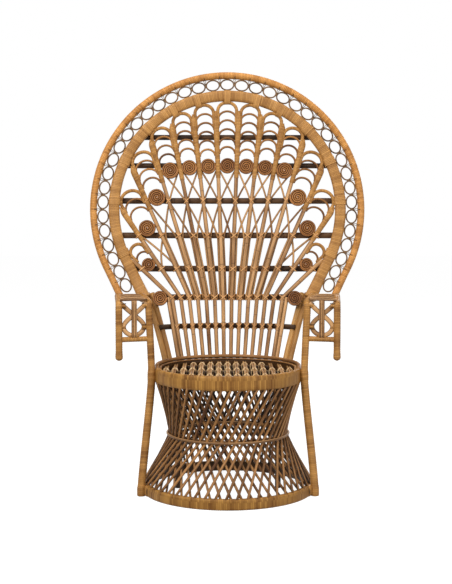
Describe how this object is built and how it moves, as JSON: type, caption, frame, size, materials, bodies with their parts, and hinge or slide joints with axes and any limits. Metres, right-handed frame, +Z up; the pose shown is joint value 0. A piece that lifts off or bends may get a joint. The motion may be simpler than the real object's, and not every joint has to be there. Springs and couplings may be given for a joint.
{
  "type": "peacock chair",
  "caption": "Peacock chair in woven rattan: a tall fan back in a ringed hoop, arms with fret panels, a round slatted seat and an hourglass lattice base.",
  "frame": {"origin": "on the floor, under the middle of the chair's outline seen from above", "axes": "+Z up, +Y to the back of the chair, +X to the right as seen from the front"},
  "size_m": [0.9984, 0.6798, 1.4559],
  "materials": {
    "wrapped_cane": "rattan pole wound with flat peel strip, satin varnish",
    "peeled_cane": "round peeled rattan, satin varnish",
    "bent_cane": "thin bent rattan, satin varnish",
    "dark_pole": "unwound rattan pole, dark satin varnish"
  },
  "bodies": {
    "root": {"arm_panel_left": "peeled_cane", "arm_panel_right": "peeled_cane", "arm_rail_left": "wrapped_cane", "arm_rail_right": "wrapped_cane", "arm_top_left": "peeled_cane", "arm_top_right": "peeled_cane", "back_pole_left": "dark_pole", "back_pole_right": "dark_pole", "bar_1": "dark_pole", "bar_2": "dark_pole", "bar_3": "dark_pole", "bar_4": "dark_pole", "bar_5": "dark_pole", "bar_6": "dark_pole", "bar_7": "dark_pole", "base_ring": "wrapped_cane", "cross_canes": "bent_cane", "edge_coil_left": "bent_cane", "edge_coil_right": "bent_cane", "edge_stick_left": "peeled_cane", "edge_stick_right": "peeled_cane", "inner_hoop": "wrapped_cane", "inner_post_left": "peeled_cane", "inner_post_right": "peeled_cane", "lattice_left_lean": "peeled_cane", "lattice_right_lean": "peeled_cane", "leg_left": "wrapped_cane", "leg_right": "wrapped_cane", "outer_hoop": "wrapped_cane", "plume_left_1": "bent_cane", "plume_left_2": "bent_cane", "plume_left_3": "bent_cane", "plume_left_4": "bent_cane", "plume_left_5": "bent_cane", "plume_left_6": "bent_cane", "plume_middle": "bent_cane", "plume_right_1": "bent_cane", "plume_right_2": "bent_cane", "plume_right_3": "bent_cane", "plume_right_4": "bent_cane", "plume_right_5": "bent_cane", "plume_right_6": "bent_cane", "rib_left_1": "peeled_cane", "rib_left_2": "peeled_cane", "rib_left_3": "peeled_cane", "rib_left_4": "peeled_cane", "rib_left_5": "peeled_cane", "rib_left_6": "peeled_cane", "rib_left_7": "peeled_cane", "rib_right_1": "peeled_cane", "rib_right_2": "peeled_cane", "rib_right_3": "peeled_cane", "rib_right_4": "peeled_cane", "rib_right_5": "peeled_cane", "rib_right_6": "peeled_cane", "rib_right_7": "peeled_cane", "ring_row": "bent_cane", "seat_back_rail": "wrapped_cane", "seat_band": "wrapped_cane", "seat_grid": "peeled_cane"}
  },
  "joints": []
}
